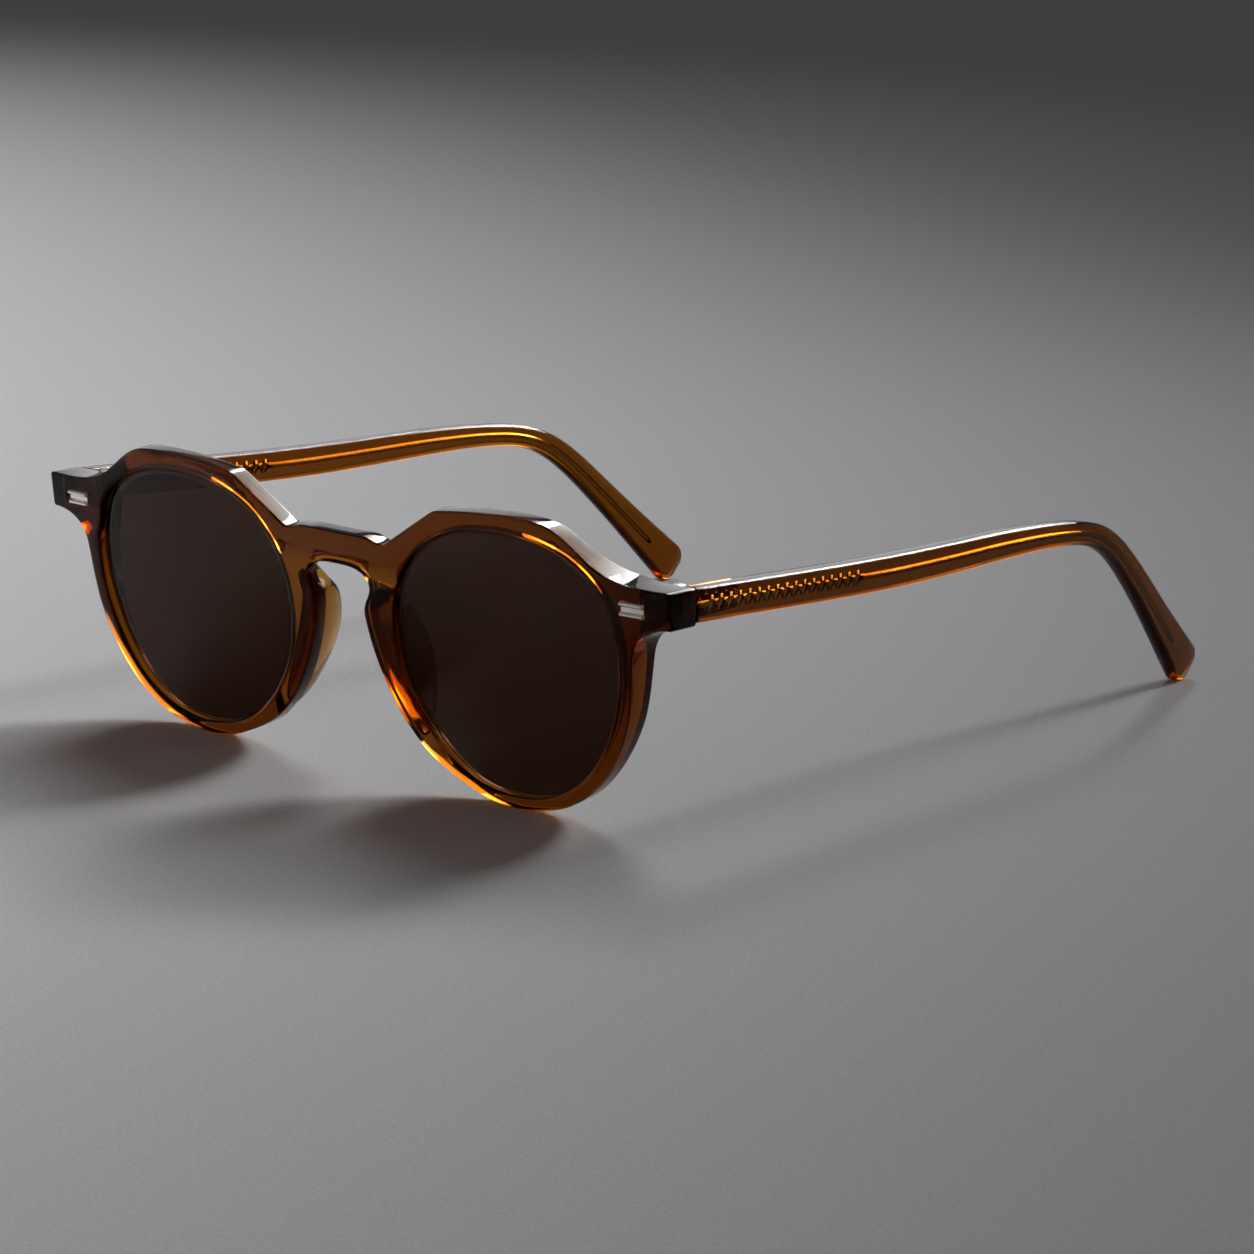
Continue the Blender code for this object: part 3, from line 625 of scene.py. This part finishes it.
class EYEWEAR_OT_pads(bpy.types.Operator):
    """Glue a moulded nose pad behind the nose side of each rim"""
    bl_idname = "eyewear.pads"
    bl_label = "Nose Pads"

    def execute(self, context):
        front, pad = context.scene.eyewear_front, context.scene.eyewear_pad
        seat = (front.seat + pad.clearance) / MM
        for label, side in SIDES:
            rings = [self.section(row, seat, side) for row in self.rows()]
            verts, faces = loft(rings)
            piece("moulded_pad_" + label, verts, faces, finish_of("milky_amber"), "front",
                  "nose_pad_" + label, sharp=60.0)
        return {"FINISHED"}

    def rows(self):
        """The sections, evened out along the pad and drawn in to rounded ends."""
        rows = spline(PAD_SECTIONS, 5) + [PAD_SECTIONS[-1]]
        first, last = rows[0], rows[-1]
        low = [(first[0] - 0.25, first[1] - 0.3, first[2], first[3] * 0.55)]
        high = [(last[0] + 0.25, last[1] - 0.3, last[2], last[3] * 0.55)]
        return low + rows + high

    def section(self, row, seat, side):
        v, reach, flare, width = row
        x = nasal_edge(v) + 0.15
        reach = max(reach, seat + 0.3)
        rise = reach - seat
        points = [(x, seat), (x + 0.18 * flare, seat + 0.25 * rise),
                  (x + 0.45 * flare, seat + 0.52 * rise),
                  (x + 0.9 * flare + 0.02 * width, reach - 0.16 * rise),
                  (x + flare + 0.16 * width, reach - 0.03 * rise),
                  (x + flare + 0.35 * width, reach),
                  (x + flare + 0.62 * width, reach - 0.14 * rise),
                  (x + 0.6 * flare + 0.86 * width, seat + 0.5 * rise),
                  (x + 0.25 * flare + 0.97 * width, seat + 0.2 * rise), (x + width, seat)]
        ring = spline(points, 3) + [points[-1], (x + 0.5 * width, seat)]
        return [on_front(side * px, v, d) for px, d in ring]


# ---- Plaques ----


class EYEWEAR_OT_plaques(bpy.types.Operator):
    """Set a plaque with two raised bars in each end piece"""
    bl_idname = "eyewear.plaques"
    bl_label = "Plaques"

    def execute(self, context):
        for label, side in SIDES:
            verts, faces = loft(self.rings(side))
            piece("barred_plaque_" + label, verts, faces, finish_of("plaque_silver"), "front",
                  "rivet_plaque_" + label, sharp=50.0)
        return {"FINISHED"}

    def rings(self, side):
        """Cross-sections along the plaque; its ends are drawn in like those of a turned bar."""
        x0, x1 = PLAQUE_X
        stations = []
        for k in range(5):
            a = 0.5 * math.pi * k / 4
            stations.append((x0 + PLAQUE_END * (1 - math.sin(a)), 0.5 + 0.5 * math.sin(a)))
        stations += [(x1 + x0 - x, s) for x, s in reversed(stations)]
        return [[on_front(side * x, v, d if d > 0 else d * swell) for v, d in self.profile()]
                for x, swell in stations]

    def profile(self):
        """Across the plaque: two round bars, seen from the side."""
        v0, v1 = PLAQUE_V
        out = [(v0, PLAQUE_SEAT)]
        for centre in (v0 + BAR_RADIUS, v1 - BAR_RADIUS):
            out += [(centre - BAR_RADIUS * math.cos(a), -PLATE_HEIGHT - BAR_HEIGHT * math.sin(a))
                    for a in (math.pi * k / 8 for k in range(9))]
        return out + [(v1, PLAQUE_SEAT)]


# ---- Hinges, pins and screws ----


class EYEWEAR_OT_hinges(bpy.types.Operator):
    """Finish the hinges, pins and screws of the frame in steel with eased edges"""
    bl_idname = "eyewear.hinges"
    bl_label = "Hinges and Pins"

    def execute(self, context):
        ease = context.scene.eyewear_metal.ease
        kinds = ("hinge_front_", "hinge_temple_", "hinge_screw_", "rivet_pin_inner_",
                 "rivet_pin_outer_")
        for label, _ in SIDES:
            for kind in kinds:
                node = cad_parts[kind + label]
                node.data.materials.clear()
                node.data.materials.append(finish_of("hinge_steel"))
                bevel = node.modifiers.new("eased", "BEVEL")
                bevel.width = ease
                bevel.segments = 2
                bevel.limit_method = "ANGLE"
                bevel.angle_limit = math.radians(40)
                bevel.harden_normals = False
        return {"FINISHED"}


# ---- Temples and cores ----


def temple_rows(steps=5):
    """Stations along the temple: centre, forward direction, height, thickness."""
    rows = spline(TEMPLE, steps) + [TEMPLE[-1]]
    out = []
    for i, (y, z, h, x, w) in enumerate(rows):
        a, b = rows[max(i - 1, 0)], rows[min(i + 1, len(rows) - 1)]
        along = Vector((0, b[0] - a[0], b[1] - a[1])).normalized()
        if i == 0:
            along = Vector((0, 1, 0))
        out.append((Vector((x - w / 2, y, z)), along, h, w))
    return out


def section(centre, along, half_h, half_w, edge, side):
    """Rounded rectangle square to the direction of travel."""
    up = Vector((0, -along.z, along.y))
    e = min(edge, 0.97 * half_h, 0.97 * half_w)
    pts = []
    for turn, (sx, sz) in enumerate(((1, 1), (-1, 1), (-1, -1), (1, -1))):
        for k in range(6):
            a = 0.5 * math.pi * (turn + k / 5)
            pts.append((sx * (half_w - e) + e * math.cos(a), sz * (half_h - e) + e * math.sin(a)))
    ring = [centre + Vector((a, 0, 0)) + up * b for a, b in pts]
    return [Vector((side * p.x, p.y, p.z)) for p in ring]


def sample(rows, y):
    """Centre, direction and thickness of the temple at y."""
    for a, b in zip(rows, rows[1:]):
        if y <= b[0].y:
            t = max(0.0, (y - a[0].y) / (b[0].y - a[0].y))
            return a[0].lerp(b[0], t), a[1].lerp(b[1], t).normalized(), a[3] + (b[3] - a[3]) * t
    return rows[-1][0], rows[-1][1], rows[-1][3]


def core_centre(rows, y):
    """The ribbed end lies nearer the outer face, clear of the hinge leaf."""
    centre, along, width = sample(rows, y)
    near = 1 - smooth(*CORE_SHIFT, y)
    return centre + Vector((max((width / 2 - 1.35) * near, 0.0) + 0.1 * near, 0, 0)), along


class EYEWEAR_OT_temples(bpy.types.Operator):
    """Build both acetate temples, from the hinge end to the paddle tip"""
    bl_idname = "eyewear.temples"
    bl_label = "Temples"

    def execute(self, context):
        temple = context.scene.eyewear_temple
        for label, side in SIDES:
            verts, faces = loft(self.rings(side, temple))
            piece("acetate_temple_" + label, verts, faces, finish_of("clear_amber"),
                  arm_body(label), "temple_" + label)
        return {"FINISHED"}

    def rings(self, side, temple):
        rows = temple_rows()
        near, far = temple.edge / MM, temple.tip_edge / MM
        rings = []
        for drop, pull in quarter(0.25, 0.25, 3):
            centre, along, h, w = rows[0]
            at = centre + along * pull
            rings.append(section(at, along, h / 2 - drop, w / 2 - drop, near, side))
        for centre, along, h, w in rows[1:]:
            edge = near + (far - near) * smooth(60.0, 125.0, centre.y)
            rings.append(section(centre, along, h / 2, w / 2, edge, side))
        centre, along, h, w = rows[-1]
        for k in range(1, 9):
            a = 0.5 * math.pi * k / 8.3
            shrink, slim = (drop * (1 - math.cos(a)) for drop in TIP_DROP)
            rings.append(section(centre + along * TIP_REACH * math.sin(a), along, h / 2 - shrink,
                                 w / 2 - slim, far, side))
        return rings


class EYEWEAR_OT_cores(bpy.types.Operator):
    """Sink a wire core in each temple: a ribbed strip by the hinge, then plain wire"""
    bl_idname = "eyewear.cores"
    bl_label = "Wire Cores"

    def execute(self, context):
        temple = context.scene.eyewear_temple
        rows = temple_rows()
        for label, side in SIDES:
            rings = []
            for y, half_h, half_w, lean in self.stations(temple, rows):
                centre, along = core_centre(rows, y)
                up = Vector((0, -along.z, along.y)) + along * lean
                ring = [centre + Vector((half_w * math.cos(a), 0, 0)) + up * half_h * math.sin(a)
                        for a in (2 * math.pi * (i + 0.5) / 16 for i in range(16))]
                rings.append([Vector((side * p.x, p.y, p.z)) for p in ring])
            verts, faces = loft(rings)
            piece("ribbed_core_" + label, verts, faces, finish_of("hinge_steel"),
                  arm_body(label), "core_wire_" + label, sharp=50.0)
        return {"FINISHED"}

    def stations(self, temple, rows):
        """y, half height, half width and lean of each section of the core."""
        root, rib, wire = CORE_ROOT, CORE_RIB, temple.wire / MM
        out = [(CORE_START_Y, 0.5, 0.3, 0.0), (CORE_START_Y + 0.3, *root, 0.0)]
        first, pitch = temple.first_rib / MM, temple.pitch / MM
        for k in range(temple.ribs):
            y = first + k * pitch
            for step, share in RIB_SHAPE:
                out.append((y + step, root[0] + (rib[0] - root[0]) * share,
                            root[1] + (rib[1] - root[1]) * share, RIB_LEAN))
        plain = first + temple.ribs * pitch
        out += [(plain, *root, 0.0), (plain + 0.8, 0.95 * wire, 0.95 * wire, 0.0)]
        out += [(r[0].y, wire, wire, 0.0) for r in rows if plain + 4 < r[0].y < CORE_END_Y - 0.5]
        return out + [(CORE_END_Y, wire, wire, 0.0),
                      (CORE_END_Y + 0.3, 0.6 * wire, 0.6 * wire, 0.0)]


# ---- Stage ----


def floor_material(colour):
    """Matt seamless board with a fine tooth."""
    mat, tree, shader = shader_tree("board_grey")
    tooth = noise_of(tree, 1400.0, 2.0)
    share = ranged(tree, tooth.outputs["Fac"], 0.0, 1.0)
    darker = tuple(0.9 * c for c in colour)
    tree.links.new(mixed(tree, share, darker, colour), shader.inputs["Base Color"])
    tree.links.new(ranged(tree, tooth.outputs["Fac"], 0.55, 0.7), shader.inputs["Roughness"])
    bumped(tree, shader, tooth.outputs["Fac"], 0.12, 0.0002)
    shader.inputs["Specular IOR Level"].default_value = 0.0
    return mat


def area_light(name, setting, power, on_floor=True):
    """A soft rectangular light; one kept off the floor shows only in gloss and clear pieces."""
    place, target, size, spread = setting
    data = bpy.data.lights.new(name, "AREA")
    data.shape = "RECTANGLE"
    data.size, data.size_y = size
    data.energy = power
    data.spread = math.radians(spread)
    obj = bpy.data.objects.new(name, data)
    bpy.context.scene.collection.objects.link(obj)
    obj.visible_diffuse = on_floor
    obj.location = place
    aim = Vector(target) - Vector(place)
    obj.rotation_euler = aim.to_track_quat("-Z", "Y").to_euler()


class EYEWEAR_OT_stage(bpy.types.Operator):
    """Set the floor, the soft lights and the camera"""
    bl_idname = "eyewear.stage"
    bl_label = "Floor, Light and Camera"

    def execute(self, context):
        scene = context.scene
        stage = scene.eyewear_stage
        self.floor(stage)
        self.lights(stage)
        camera = bpy.data.cameras.new("camera")
        camera.lens = stage.lens
        camera.sensor_width = 36.0
        camera.clip_start, camera.clip_end = 0.01, 20.0
        holder = bpy.data.objects.new("camera", camera)
        scene.collection.objects.link(holder)
        holder.location = stage.place
        holder.rotation_euler = (0.5 * math.pi - stage.elevation, 0.0, stage.azimuth)
        scene.camera = holder
        scene.view_settings.view_transform = "Standard"
        scene.cycles.use_denoising = True
        return {"FINISHED"}

    def floor(self, stage):
        mesh = bpy.data.meshes.new("floor")
        mesh.from_pydata([(FLOOR_REACH * x, FLOOR_REACH * y, 0)
                          for x, y in ((-1, -1), (1, -1), (1, 1), (-1, 1))], [], [(0, 1, 2, 3)])
        mesh.materials.append(floor_material(tuple(stage.floor)))
        obj = bpy.data.objects.new("floor", mesh)
        bpy.context.scene.collection.objects.link(obj)

    def lights(self, stage):
        area_light("key_softbox", KEY, stage.key)
        area_light("fill_softbox", FILL, stage.key)
        area_light("sheen_panel", SHEEN, stage.sheen, on_floor=False)
        area_light("back_panel", BACK, stage.back, on_floor=False)
        world = bpy.data.worlds.new("studio")
        world.use_nodes = True
        sky = world.node_tree.nodes["Background"]
        sky.inputs["Color"].default_value = STUDIO_GREY
        bpy.context.scene.world = world


class VIEW3D_PT_eyewear(bpy.types.Panel):
    """The steps that build the sunglasses, with their sizes"""
    bl_label = "Panto Sunglasses"
    bl_space_type = "VIEW_3D"
    bl_region_type = "UI"
    bl_category = "Eyewear"

    def draw(self, context):
        for name, step in zip(SETTINGS, PANEL_STEPS):
            box = self.layout.box()
            for idname in step:
                box.operator(idname)
            group = getattr(context.scene, name)
            for prop in group.bl_rna.properties:
                if not prop.is_readonly and prop.identifier != "name":
                    box.prop(group, prop.identifier)


STEPS = (EYEWEAR_OT_front, EYEWEAR_OT_lenses, EYEWEAR_OT_pads, EYEWEAR_OT_plaques,
         EYEWEAR_OT_hinges, EYEWEAR_OT_temples, EYEWEAR_OT_cores, EYEWEAR_OT_stage)
PANEL_STEPS = (("eyewear.front",), ("eyewear.lenses",), ("eyewear.pads",),
               ("eyewear.plaques", "eyewear.hinges"), ("eyewear.temples", "eyewear.cores"),
               ("eyewear.stage",))


def register():
    for cls in (*SETTINGS.values(), *STEPS, VIEW3D_PT_eyewear):
        bpy.utils.register_class(cls)
    for name, cls in SETTINGS.items():
        setattr(bpy.types.Scene, name, PointerProperty(type=cls))


def unregister():
    for name in SETTINGS:
        delattr(bpy.types.Scene, name)
    for cls in reversed((*SETTINGS.values(), *STEPS, VIEW3D_PT_eyewear)):
        bpy.utils.unregister_class(cls)


def main():
    register()
    for step in STEPS:
        group, name = step.bl_idname.split(".")
        getattr(getattr(bpy.ops, group), name)()


if __name__ == "__main__":
    main()
